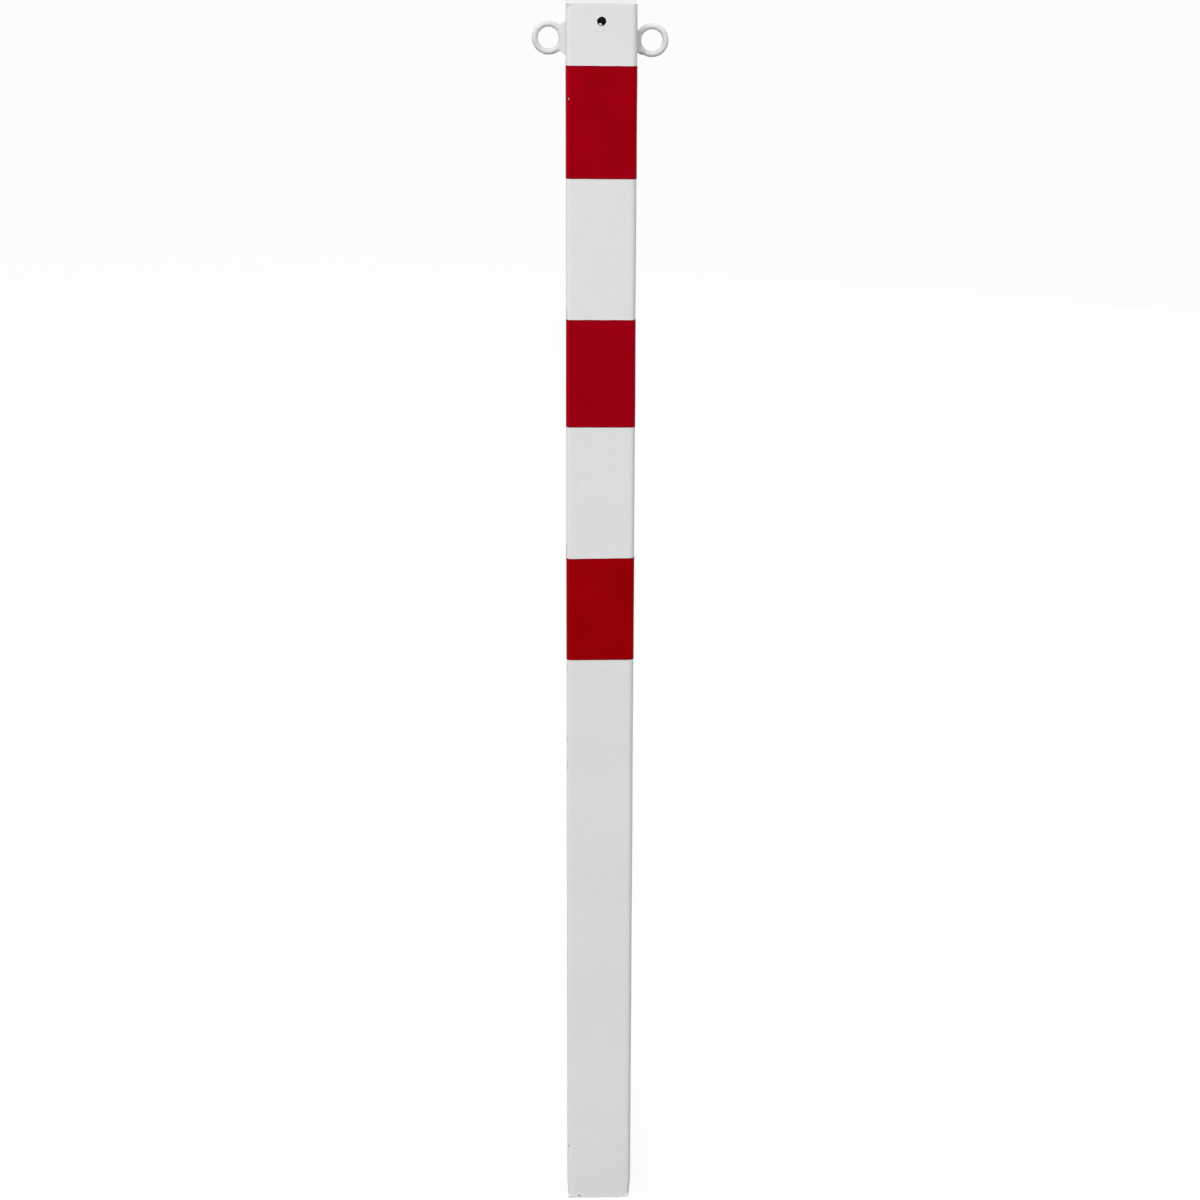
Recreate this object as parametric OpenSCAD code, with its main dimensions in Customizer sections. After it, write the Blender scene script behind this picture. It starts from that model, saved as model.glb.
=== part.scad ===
// Square steel barrier post with a welded lid, two chain eyelets and three red film bands.
// Millimetres. +Z is up, the front (with the vent hole) faces -Y, and the origin is the
// centre of the open lower end.

/* [Post] */
// Outside width of the square tube
post_w = 70; // [60:1:100]
// Whole length of the post with its lid
post_len = 1300; // [1100:10:1600]
// Wall thickness of the tube
wall_t = 2.5; // [2:0.5:4]
// Outside radius of the tube's four long corners
corner_r = 5; // [4.5:0.5:8]

/* [Lid] */
// Thickness of the lid plate
lid_t = 3; // [3:0.5:6]
// Width of the weld seam that runs round the lid plate
seam_w = 1.5; // [1:0.25:1.75]
// Radius ground on the upper edge of the seam and the lid
lid_edge_r = 1.5; // [1:0.25:2.5]
// Height of the stretch of seam left unfilled at the front left corner
notch_h = 1.4; // [0.6:0.2:2]
// Reach of that unfilled stretch along both sides of the corner
notch_reach = 5; // [4:0.5:9]

/* [Vent hole] */
// Diameter of the hole in the front wall that lets zinc and air out
vent_d = 9; // [6:0.5:12]
// Distance from the post's top down to the hole's centre
vent_drop = 18; // [14:1:30]

/* [Eyelets] */
// Diameter of the round bar that each ring is bent from
bar_d = 6; // [5:0.5:8]
// Inside diameter of each ring
ring_bore = 21; // [18:0.5:25]
// Slit left between the two ends of the bent bar
ring_slit = 1.5; // [1:0.5:3]
// Distance from the post's top down to the left ring's centre
left_drop = 35.6; // [32:0.1:39]
// Distance from the post's top down to the right ring's centre
right_drop = 38; // [32:0.1:39]
// Root gap that the weld bridges between the left ring and the tube
left_root_gap = 0.6; // [0.4:0.1:1]
// Depth to which the right ring's back is ground flat where it meets the tube
right_set_in = 1.3; // [0.5:0.1:2]

/* [Eyelet welds] */
// Leg of both welds on the tube, measured from the bar's side
weld_leg = 3.8; // [2.5:0.1:5]
// Height by which the left fillet runs past its ring's outline, above and below
fillet_over = 0.5; // [0.2:0.1:1.5]
// Reach of the left fillet out from the tube, past the bar's own thickness
fillet_past_bar = 1.2; // [0.8:0.1:1.6]
// Height that the left fillet loses between the tube and its outer end
fillet_fall = 4.6; // [3:0.1:6]
// Radius of the hollow at both ends of the left fillet
fillet_r = 16; // [12:1:40]
// Height of the right weld strip above its ring's centre
strip_up = 9.8; // [7:0.1:12]
// Height of the right weld strip below its ring's centre
strip_down = 12.1; // [8:0.1:14]

/* [Red bands] */
// Thickness of the film
film_t = 0.3; // [0.2:0.1:0.5]
// Width of each film strip
band_w = 110; // [80:5:130]
// Distance from the post's top down to the first band
band_drop = 60.5; // [58:0.5:80]
// Distance from the top of one band to the top of the next
band_pitch = 250; // [200:5:260]
// Width of the strip's overlap on the rear face
film_lap = 15; // [8:1:30]

/* [Hidden] */
$fn = 96;

// Allowance by which a cutting shape runs past the solid that it cuts
past = 1;

side_x = post_w / 2;
tube_len = post_len - lid_t;
plate_w = post_w - 2 * seam_w;
plate_r = corner_r - seam_w;

ring_r = (ring_bore + bar_d) / 2;
ring_outer_r = ring_r + bar_d / 2;
slit_angle = 2 * asin(ring_slit / 2 / ring_r);
left_out = ring_outer_r + left_root_gap;
right_out = ring_outer_r - right_set_in;

weld_foot = bar_d / 2 + weld_leg;
fillet_h = ring_outer_r + fillet_over;
fillet_reach = bar_d + fillet_past_bar;
fillet_tip = 0.36 * bar_d;
strip_reach = bar_d - right_set_in;
strip_tip = 0.6 * bar_d;

// Centre of the circle of radius r through a and b, on the left hand from a to b
function arc_centre(a, b, r) =
  let (half = norm(b - a) / 2, run = (b - a) / norm(b - a))
  (a + b) / 2 + sqrt(r * r - half * half) * [-run[1], run[0]];

// Square outline of width w with corners of radius r
module rounded_square(w, r) {
  square([w, w - 2 * r], center = true);
  square([w - 2 * r, w], center = true);
  for (x = [-1, 1], y = [-1, 1])
    translate([x, y] * (w / 2 - r)) circle(r);
}

// Side view of a slab of width w and height h whose two upper edges have radius e
module crowned_outline(w, h, e) {
  intersection() {
    union() {
      square([w, 2 * (h - e)], center = true);
      square([w - 2 * e, 2 * h], center = true);
      for (x = [-1, 1]) translate([x * (w / 2 - e), h - e]) circle(e);
    }
    translate([-w / 2, 0]) square([w, h]);
  }
}

// Square block with long corners of radius r and upper edges of radius e
module crowned_block(w, r, h, e) {
  for (turn = [0, 90]) rotate([90, 0, turn])
    linear_extrude(w - 2 * r, center = true) crowned_outline(w, h, e);
  for (x = [-1, 1], y = [-1, 1])
    translate([x * (w / 2 - r), y * (w / 2 - r), 0])
      rotate_extrude() intersection() {
        crowned_outline(2 * r, h, e);
        square([r, h]);
      }
}

// Everything that lies inside the plane of the tube's side face, out to +X
module inside_of_side(depth) {
  translate([side_x - depth, -depth, 0]) cube([depth, 2 * depth, tube_len]);
}

// One ring in the XZ plane, its slit towards the tube, its back flush with the tube's side.
// It is drawn on the right side of the post.
module ring(out, drop) {
  difference() {
    translate([side_x + out, 0, post_len - drop])
      rotate([90, 180 - slit_angle / 2, 0])
        rotate_extrude(angle = 360 - slit_angle)
          translate([ring_r, 0]) circle(d = bar_d);
    inside_of_side(2 * bar_d);
  }
}

// The round space inside a ring, kept free for a chain
module ring_hole(out, drop) {
  translate([side_x + out, 0, post_len - drop])
    rotate([90, 0, 0]) cylinder(d = ring_bore, h = 4 * weld_foot, center = true);
}

// A weld on the right side: side view along Y, trimmed to a foot of half width weld_foot
// that narrows to half width tip at its outer end
module weld_body(drop, reach, tip) {
  intersection() {
    translate([side_x, 0, post_len - drop])
      rotate([90, 0, 0]) linear_extrude(2 * weld_foot, center = true) children();
    translate([side_x, 0, 0]) linear_extrude(post_len)
      polygon([[0, -weld_foot], [reach, -tip], [reach, tip], [0, weld_foot]]);
  }
}

// Side view of the left fillet: a hollow at its upper end and one at its lower end
module fillet_outline() {
  foot = [0, fillet_h];
  leave = [fillet_reach, fillet_h - fillet_fall];
  hollow = arc_centre(foot, leave, fillet_r);
  difference() {
    translate([0, -fillet_h]) square([fillet_reach, 2 * fillet_h]);
    for (s = [-1, 1]) translate([hollow[0], s * hollow[1]]) circle(fillet_r);
  }
}

module post_tube() {
  color("gainsboro") difference() {
    linear_extrude(tube_len) difference() {
      rounded_square(post_w, corner_r);
      rounded_square(post_w - 2 * wall_t, corner_r - wall_t);
    }
    translate([0, -side_x, post_len - vent_drop])
      rotate([90, 0, 0]) cylinder(d = vent_d, h = 2 * (wall_t + past), center = true);
  }
}

module top_plate() {
  color("whitesmoke") translate([0, 0, tube_len]) intersection() {
    crowned_block(post_w, corner_r, lid_t, lid_edge_r);
    linear_extrude(lid_t + past) rounded_square(plate_w, plate_r);
  }
}

module lid_weld() {
  color("gainsboro") translate([0, 0, tube_len]) difference() {
    crowned_block(post_w, corner_r, lid_t, lid_edge_r);
    translate([0, 0, -past])
      linear_extrude(lid_t + 2 * past) rounded_square(plate_w, plate_r);
    translate([-side_x - past, -side_x - past, -past])
      cube([notch_reach + past, notch_reach + past, notch_h + past]);
  }
}

module eyelet_left() {
  color("gainsboro") mirror([1, 0, 0]) ring(left_out, left_drop);
}

module eyelet_right() {
  color("gainsboro") ring(right_out, right_drop);
}

module weld_left() {
  color("lightgray") mirror([1, 0, 0]) difference() {
    weld_body(left_drop, fillet_reach, fillet_tip) fillet_outline();
    ring(left_out, left_drop);
    ring_hole(left_out, left_drop);
  }
}

module weld_right() {
  color("lightgray") difference() {
    weld_body(right_drop, strip_reach, strip_tip)
      translate([0, -strip_down]) square([strip_reach, strip_up + strip_down]);
    ring(right_out, right_drop);
    ring_hole(right_out, right_drop);
  }
}

// Film strip number i, wrapped once round the tube and lapped on the rear face
module red_band(i) {
  color("crimson") translate([0, 0, post_len - band_drop - i * band_pitch - band_w])
    linear_extrude(band_w) {
      difference() {
        rounded_square(post_w + 2 * film_t, corner_r + film_t);
        rounded_square(post_w, corner_r);
      }
      translate([-film_lap / 2, side_x + film_t]) square([film_lap, film_t]);
    }
}

post_tube();
top_plate();
lid_weld();
eyelet_left();
eyelet_right();
weld_left();
weld_right();
red_band(0);  // red_band_top
red_band(1);  // red_band_middle
red_band(2);  // red_band_lower
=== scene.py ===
"""Square steel barrier post with a welded lid, two chain eyelets and three red films."""
import logging
import math
from dataclasses import dataclass, field
from enum import Enum
from typing import Any, Mapping, Optional, Sequence, Union

import bmesh
import bpy
import numpy as np
from mathutils import Matrix, Vector


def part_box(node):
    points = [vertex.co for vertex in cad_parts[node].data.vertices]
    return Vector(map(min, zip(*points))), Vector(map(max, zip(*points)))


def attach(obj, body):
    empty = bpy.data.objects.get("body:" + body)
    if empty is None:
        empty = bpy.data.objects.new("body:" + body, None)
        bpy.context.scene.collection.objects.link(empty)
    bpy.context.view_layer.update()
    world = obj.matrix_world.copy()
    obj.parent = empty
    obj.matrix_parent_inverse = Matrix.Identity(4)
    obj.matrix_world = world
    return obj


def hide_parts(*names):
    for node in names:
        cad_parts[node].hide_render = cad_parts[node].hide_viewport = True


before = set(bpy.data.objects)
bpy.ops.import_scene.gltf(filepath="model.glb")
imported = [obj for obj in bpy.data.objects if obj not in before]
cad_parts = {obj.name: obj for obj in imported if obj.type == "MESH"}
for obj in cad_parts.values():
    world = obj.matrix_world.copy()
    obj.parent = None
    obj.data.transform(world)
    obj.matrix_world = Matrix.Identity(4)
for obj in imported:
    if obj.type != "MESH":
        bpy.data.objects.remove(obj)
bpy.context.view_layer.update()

LOG = logging.getLogger("barrier_post")
MM = 0.001
BODY = "root"
WHITE_SLOT = "white_paint"
RED_SLOT = "red_film"
# How many times faster than the first each sine of a random line is, and their usual peak
WAVE_PARTS = (1.0, 1.7, 0.61, 2.3)
WAVE_PEAK = 2.6

Pair = tuple[float, float]
Triple = tuple[float, float, float]


# Node trees


class Value:
    """A socket of a node tree that takes part in arithmetic; each operation adds a node."""

    def __init__(self, graph: "Graph", socket: bpy.types.NodeSocket) -> None:
        """Wraps one output socket of a graph."""
        self.graph = graph
        self.socket = socket

    def __add__(self, other: "Number") -> "Value":
        """The sum with other."""
        return self.graph.math("ADD", self, other)

    def __sub__(self, other: "Number") -> "Value":
        """This less other."""
        return self.graph.math("SUBTRACT", self, other)

    def __rsub__(self, other: "Number") -> "Value":
        """Other less this."""
        return self.graph.math("SUBTRACT", other, self)

    def __mul__(self, other: "Number") -> "Value":
        """The product with other."""
        return self.graph.math("MULTIPLY", self, other)

    __radd__ = __add__
    __rmul__ = __mul__


Number = Union[Value, float, int]


class Graph:
    """Adds nodes to one node tree.

    FADE is the share of a soft spot's radius over which it fades out.
    """

    FADE = 0.6

    def __init__(self, tree: bpy.types.NodeTree) -> None:
        """Starts on a tree."""
        self.tree = tree

    def node(self, kind: str, inputs: Optional[Mapping[Any, Any]] = None,
             **settings: Any) -> bpy.types.Node:
        """Adds a node.

        Args:
            kind: the node's type.
            inputs: what its sockets take, by name or number: a Value or a constant.
            settings: properties, set before the inputs.

        Returns:
            The node.
        """
        node = self.tree.nodes.new(kind)
        for name, value in settings.items():
            setattr(node, name, value)
        for key, value in (inputs or {}).items():
            self.supply(self._pick(node.inputs, key), value)
        return node

    def supply(self, socket: bpy.types.NodeSocket, value: Any) -> None:
        """Links a socket to a Value, or sets it to a constant.

        Args:
            socket: the input socket.
            value: what it takes.
        """
        if isinstance(value, Value):
            self.tree.links.new(value.socket, socket)
        else:
            socket.default_value = value

    def make(self, kind: str, inputs: Optional[Mapping[Any, Any]] = None,
             output: Optional[str] = None, **settings: Any) -> Value:
        """Adds a node as node does, and gives its output of that name or its first one."""
        return self.out(self.node(kind, inputs, **settings), output)

    @staticmethod
    def _pick(sockets: Sequence[bpy.types.NodeSocket], key: Any) -> bpy.types.NodeSocket:
        """The socket with that number, or the first one in use with that name.

        Args:
            sockets: a node's inputs or outputs.
            key: the number or the name.

        Returns:
            The socket.
        """
        if isinstance(key, int):
            return sockets[key]
        return next(s for s in sockets if s.enabled and s.name == key)

    def out(self, node: bpy.types.Node, name: Optional[str] = None) -> Value:
        """A node's output by name, or the first one in use."""
        used = [s for s in node.outputs if s.enabled]
        return Value(self, used[0] if name is None else self._pick(used, name))

    def math(self, operation: str, *values: Number) -> Value:
        """A Math node's result for these operands."""
        return self.make("ShaderNodeMath", dict(enumerate(values)), operation=operation)

    def vector(self, operation: str, *values: Any) -> Value:
        """A Vector Math node's result for these operands."""
        return self.make("ShaderNodeVectorMath", dict(enumerate(values)),
                         operation=operation)

    def step(self, value: Number, low: float, high: float) -> Value:
        """A smooth rise from 0 at low to 1 at high.

        Args:
            value: what rises.
            low: where the rise begins.
            high: where it ends.

        Returns:
            The rise.
        """
        return self.make("ShaderNodeMapRange", {
            "Value": value, "From Min": low, "From Max": high},
            interpolation_type="SMOOTHSTEP")

    def noise(self, place: Value, scale: float, detail: float = 2.0) -> Value:
        """Noise between 0 and 1, with scale in cells per metre."""
        return self.make("ShaderNodeTexNoise", {
            "Vector": place, "Scale": scale, "Detail": detail}, "Fac")

    def length(self, vector: Value) -> Value:
        """The length of a vector."""
        return self.make("ShaderNodeVectorMath", {0: vector}, "Value", operation="LENGTH")

    def wobble(self, place: Value, scale: float, reach: Value,
               seed: Optional[Value] = None) -> Value:
        """A shift that changes from place to place.

        Args:
            place: where it is looked up.
            scale: its cells per metre.
            reach: how far it goes, from one side to the other.
            seed: the fourth coordinate of the noise, which is flat without one.

        Returns:
            The shift.
        """
        kind, inputs = {}, {"Vector": place, "Scale": scale, "Detail": 1.0}
        if seed is not None:
            kind, inputs = {"noise_dimensions": "4D"}, {**inputs, "W": seed}
        noise = self.make("ShaderNodeTexNoise", inputs, "Color", **kind)
        centred = self.vector("SUBTRACT", noise, (0.5, 0.5, 0.5))
        return self.make("ShaderNodeVectorMath", {"Vector": centred, "Scale": reach},
                         operation="SCALE")

    def split(self, vector: Value) -> tuple[Value, Value, Value]:
        """The three parts of a vector."""
        node = self.node("ShaderNodeSeparateXYZ", {0: vector})
        return tuple(self.out(node, axis) for axis in "XYZ")

    def join(self, x: Number, y: Number, z: Number) -> Value:
        """The vector with these three parts."""
        return self.make("ShaderNodeCombineXYZ", {0: x, 1: y, 2: z})

    def blend(self, factor: Number, low: Any, high: Any) -> Value:
        """A colour between low and high."""
        return self.make("ShaderNodeMix", {"Factor": factor, "A": low, "B": high},
                         data_type="RGBA")

    def hump(self, vector: Value, centre: Triple, radii: Triple) -> Value:
        """A soft spot: 1 at centre, 0 from the ellipsoid with these radii outwards.

        Args:
            vector: the place that is looked at.
            centre: the spot's middle.
            radii: its three radii.

        Returns:
            The spot's strength.
        """
        shifted = self.vector("SUBTRACT", vector, centre)
        away = self.length(self.vector("DIVIDE", shifted, radii))
        return self.step(1 - away, 0.0, self.FADE)


def rgba(colour: Triple) -> tuple[float, float, float, float]:
    """The colour with full alpha."""
    return (*colour, 1.0)


# Finishes


@dataclass(frozen=True)
class Spot:
    """A small blemish: where it is, its three radii and how deep or high it is."""

    place: Triple
    radii: Triple
    rise: float = 0.0

    @classmethod
    def mm(cls, place: Triple, radii: Triple, rise: float = 0.0) -> "Spot":
        """A blemish with its sizes given in millimetres."""
        return cls(tuple(p * MM for p in place), tuple(r * MM for r in radii), rise * MM)


@dataclass(frozen=True)
class Finish:
    """What every finish has: a name and how its surface is broken up."""

    name: str

    def start(self) -> tuple[bpy.types.Material, Graph, bpy.types.Node, Value]:
        """Makes the material.

        Returns:
            The material, its graph, its main shader node and the object coordinates.
        """
        material = bpy.data.materials.new(self.name)
        material.use_nodes = True
        graph = Graph(material.node_tree)
        shader = material.node_tree.nodes["Principled BSDF"]
        place = graph.make("ShaderNodeTexCoord", output="Object")
        return material, graph, shader, place

    @staticmethod
    def vary(noise: Value, middle: float, spread: float) -> Value:
        """A value that the noise takes from half of spread below middle to half above."""
        return noise * spread + (middle - spread / 2.0)

    @staticmethod
    def bump(graph: Graph, height: Value, distance: float) -> Value:
        """A normal bent by a height between 0 and 1 that stands for distance metres."""
        return graph.make("ShaderNodeBump", {
            "Strength": 1.0, "Distance": distance, "Height": height})

    @staticmethod
    def feed(graph: Graph, shader: bpy.types.Node, **values: Any) -> None:
        """Sets or links sockets of the main shader, an underscore standing for a space.

        Args:
            graph: the shader's graph.
            shader: the main shader.
            values: what its sockets take, by name.
        """
        for name, value in values.items():
            graph.supply(shader.inputs[name.replace("_", " ")], value)


@dataclass(frozen=True)
class WhiteCoat(Finish):
    """Satin white powder coat over zinc, with faint orange peel, a few rub marks, and dark marks
    of painted shade in a dent, under drips and along a groove.

    Scales are in cells per metre. A pair of numbers says where a tone begins and where
    it is full.
    """

    colour: Triple = (0.750, 0.751, 0.750)
    shade: Triple = (0.725, 0.726, 0.731)
    # Colour of the rub marks on the left edge, and of a mark of painted shade below the lid's
    # unfilled corner.
    scuff_and_shade_colour: Triple = (0.24, 0.24, 0.25)
    # Colour of the spots of painted shade in a dent and under drips at the foot.
    shade_spot_colour: Triple = (0.13, 0.13, 0.135)
    roughness: float = 0.40
    specular: float = 0.3
    roughness_spread: float = 0.10
    cloud_scale: float = 9.0
    grain_scale: float = 160.0
    grain_share: float = 0.3
    mottle: Pair = (0.38, 0.62)
    wear_scale: float = 900.0
    wear: Pair = (0.30, 0.62)
    peel: float = 0.018 * MM
    peel_scale: float = 700.0
    peel_share: float = 0.6
    swell_scale: float = 90.0
    scuffs_and_shade: tuple[Spot, ...] = ()
    shade_spots: tuple[Spot, ...] = ()

    def material(self) -> bpy.types.Material:
        """Builds the material.

        Returns:
            The material.
        """
        material, graph, shader, place = self.start()
        cloud = graph.noise(place, self.cloud_scale, 3.0)
        grain = graph.noise(place, self.grain_scale)
        tone = graph.step(cloud * (1.0 - self.grain_share) + grain * self.grain_share,
                          *self.mottle)
        colour = graph.blend(tone, rgba(self.colour), rgba(self.shade))
        # Rub marks and one mark of painted shade, thinned by a wear noise, darken the colour.
        rub_and_shade: Number = 0.0
        for dark_mark in self.scuffs_and_shade:
            rub_and_shade = graph.hump(place, dark_mark.place, dark_mark.radii) + rub_and_shade
        wear_and_shade = rub_and_shade * graph.step(graph.noise(place, self.wear_scale), *self.wear)
        colour = graph.blend(graph.math("MINIMUM", wear_and_shade, 1.0), colour,
                             rgba(self.scuff_and_shade_colour))
        # Spots of painted shade darken the coat in the nick's dent and between and under the
        # foot's drips.
        for shade_spot in self.shade_spots:
            colour = graph.blend(graph.hump(place, shade_spot.place, shade_spot.radii), colour,
                                 rgba(self.shade_spot_colour))
        skin = graph.noise(place, self.peel_scale, 1.0)
        swell = graph.noise(place, self.swell_scale, 1.0)
        self.feed(graph, shader, Base_Color=colour,
                  Roughness=self.vary(grain, self.roughness, self.roughness_spread),
                  Normal=self.bump(graph, skin * self.peel_share + swell, self.peel),
                  Specular_IOR_Level=self.specular)
        return material


@dataclass(frozen=True)
class BareZinc(Finish):
    """Hot-dip zinc with its spangle, on the inside that no powder reaches."""

    light: Triple = (0.50, 0.52, 0.54)
    dark: Triple = (0.30, 0.32, 0.34)
    spangle_scale: float = 110.0
    frost_scale: float = 45.0
    flake_share: float = 0.6
    frost_share: float = 0.5
    mottle: Pair = (0.2, 0.9)
    metallic: float = 0.7
    metallic_spread: float = 0.2
    roughness: float = 0.50
    roughness_spread: float = 0.3
    relief: float = 0.06 * MM
    flake_relief: float = 0.4

    def material(self) -> bpy.types.Material:
        """Builds the material.

        Returns:
            The material.
        """
        material, graph, shader, place = self.start()
        cells = graph.make("ShaderNodeTexVoronoi", {
            "Vector": place, "Scale": self.spangle_scale}, "Color")
        flake = graph.split(cells)[0]
        frost = graph.noise(place, self.frost_scale, 4.0)
        tone = graph.step(flake * self.flake_share + frost * self.frost_share, *self.mottle)
        self.feed(graph, shader,
                  Base_Color=graph.blend(tone, rgba(self.dark), rgba(self.light)),
                  Metallic=self.vary(flake, self.metallic, self.metallic_spread),
                  Roughness=self.vary(frost, self.roughness, self.roughness_spread),
                  Normal=self.bump(graph, flake * self.flake_relief + frost, self.relief))
        return material


@dataclass(frozen=True)
class RedFilm(Finish):
    """Smooth self-adhesive film, dark along its cut edges, with small chips."""

    colour: Triple = (0.33, 0.0, 0.006)
    deep: Triple = (0.29, 0.0, 0.004)
    edge: Triple = (0.07, 0.0, 0.002)
    primer: Triple = (0.62, 0.42, 0.42)
    sheen_tint: Triple = (1.0, 0.15, 0.16)
    metallic: float = 0.5
    roughness: float = 0.20
    specular: float = 0.1
    roughness_spread: float = 0.12
    cloud_scale: float = 24.0
    fine_scale: float = 260.0
    fine_share: float = 0.2
    mottle: Pair = (0.36, 0.64)
    skin_scale: float = 420.0
    relief: float = 0.010 * MM
    edge_fade: Pair = (0.15 * MM, 0.7 * MM)
    halo: float = 1.7
    chips: tuple[Spot, ...] = ()

    def material(self) -> bpy.types.Material:
        """Builds the material.

        Returns:
            The material.
        """
        material, graph, shader, place = self.start()
        cloud = graph.noise(place, self.cloud_scale, 3.0)
        fine = graph.noise(place, self.fine_scale)
        tone = graph.step(cloud * (1.0 - self.fine_share) + fine * self.fine_share,
                          *self.mottle)
        colour = graph.blend(tone, rgba(self.colour), rgba(self.deep))
        gap = graph.make("ShaderNodeAttribute", output="Fac", attribute_name=FilmStrip.EDGE)
        colour = graph.blend(graph.step(gap, *self.edge_fade), rgba(self.edge), colour)
        for chip in self.chips:
            wide = tuple(r * self.halo for r in chip.radii)
            colour = graph.blend(graph.hump(place, chip.place, wide), colour,
                                 rgba(self.edge))
            colour = graph.blend(graph.hump(place, chip.place, chip.radii), colour,
                                 rgba(self.primer))
        skin = graph.noise(place, self.skin_scale, 1.0)
        self.feed(graph, shader, Base_Color=colour,
                  Roughness=self.vary(fine, self.roughness, self.roughness_spread),
                  Normal=self.bump(graph, skin, self.relief),
                  Metallic=self.metallic, Specular_IOR_Level=self.specular,
                  Specular_Tint=rgba(self.sheen_tint))
        return material


# Meshes


def rise(value: np.ndarray, low: float, high: float) -> np.ndarray:
    """A smooth rise from 0 at low to 1 at high."""
    t = np.clip((np.asarray(value, float) - low) / (high - low), 0.0, 1.0)
    return t * t * (3.0 - 2.0 * t)


def waves(value: np.ndarray, length: float, seed: int) -> np.ndarray:
    """A smooth random line between about -1 and 1 whose waves are about length long.

    Args:
        value: places along the line.
        length: the length of its main wave.
        seed: which random line it is.

    Returns:
        The line's heights.
    """
    phases = np.random.default_rng(seed).uniform(0.0, 2.0 * math.pi, len(WAVE_PARTS))
    turns = 2.0 * math.pi / length * np.array(WAVE_PARTS)
    return sum(np.sin(turn * value + phase)
               for turn, phase in zip(turns, phases)) / WAVE_PEAK


class Shell:
    """Collects lofted surfaces and welds them into one closed mesh.

    Points that are closer than MERGE become one.
    """

    MERGE = 0.002 * MM

    def __init__(self) -> None:
        """Starts empty."""
        self.points: list[np.ndarray] = []
        self.faces: list[tuple[int, ...]] = []
        self.slots: list[int] = []
        self.count = 0

    def loft(self, loops: np.ndarray, ring: bool = False, caps: bool = False,
             keep: Optional[np.ndarray] = None,
             slots: Optional[Sequence[int]] = None) -> None:
        """Adds a surface through closed loops of points.

        Args:
            loops: points of shape (loops, points per loop, 3).
            ring: joins the last loop to the first.
            caps: closes the first and the last loop with a face.
            keep: which faces are made, of shape (loops, points per loop).
            slots: the material number between each loop and the next.
        """
        rows, columns = loops.shape[:2]
        number = self.count + np.arange(rows * columns).reshape(rows, columns)
        last = rows if ring else rows - 1
        for row in range(last):
            here, above = number[row], number[(row + 1) % rows]
            for column in range(columns):
                beside = (column + 1) % columns
                if keep is None or keep[row, column]:
                    self.faces.append((here[column], here[beside],
                                       above[beside], above[column]))
                    self.slots.append(slots[row] if slots is not None else 0)
        if caps:
            for loop in (number[0][::-1], number[-1]):
                self.faces.append(tuple(loop))
                self.slots.append(0)
        self.points.append(loops.reshape(-1, 3))
        self.count += rows * columns

    def mesh(self, name: str, materials: Sequence[bpy.types.Material],
             sharp: float = 32.0,
             marks: Optional[Mapping[str, np.ndarray]] = None) -> bpy.types.Mesh:
        """Makes the mesh: merged, facing outwards and smooth but for sharp edges.

        Args:
            name: the mesh's name.
            materials: its materials in slot order.
            sharp: the angle in degrees from which an edge stays sharp.
            marks: attributes by name, each with one value for every point.

        Returns:
            The mesh.
        """
        mesh = bpy.data.meshes.new(name)
        mesh.from_pydata(np.concatenate(self.points), [], self.faces)
        for label, values in (marks or {}).items():
            attribute = mesh.attributes.new(label, "FLOAT", "POINT")
            attribute.data.foreach_set("value", values)
        for material in materials:
            mesh.materials.append(material)
        mesh.polygons.foreach_set("material_index", self.slots)
        work = bmesh.new()
        work.from_mesh(mesh)
        bmesh.ops.remove_doubles(work, verts=work.verts, dist=self.MERGE)
        bmesh.ops.recalc_face_normals(work, faces=work.faces)
        work.to_mesh(mesh)
        work.free()
        mesh.polygons.foreach_set("use_smooth", [True] * len(mesh.polygons))
        mesh.set_sharp_from_angle(angle=math.radians(sharp))
        return mesh


def add_object(name: str, data: Optional[bpy.types.ID]) -> bpy.types.Object:
    """Puts an object with this data in the scene.

    Args:
        name: the object's name.
        data: its mesh, lamp or camera.

    Returns:
        The object.
    """
    thing = bpy.data.objects.new(name, data)
    bpy.context.scene.collection.objects.link(thing)
    return thing


def place_piece(name: str, mesh: bpy.types.Mesh, slot: str, *nodes: str) -> None:
    """Puts a finished mesh in the scene as a piece of the post.

    Args:
        name: the piece's name.
        mesh: its mesh, in metres and in place.
        slot: the name of a material slot; it is not used.
        nodes: the CAD nodes that it stands for.
    """
    piece = add_object(name, mesh)
    if nodes:
        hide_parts(*nodes)
    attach(piece, BODY)
    LOG.info("%s: %d points, %d faces", name, len(mesh.vertices), len(mesh.polygons))


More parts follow.
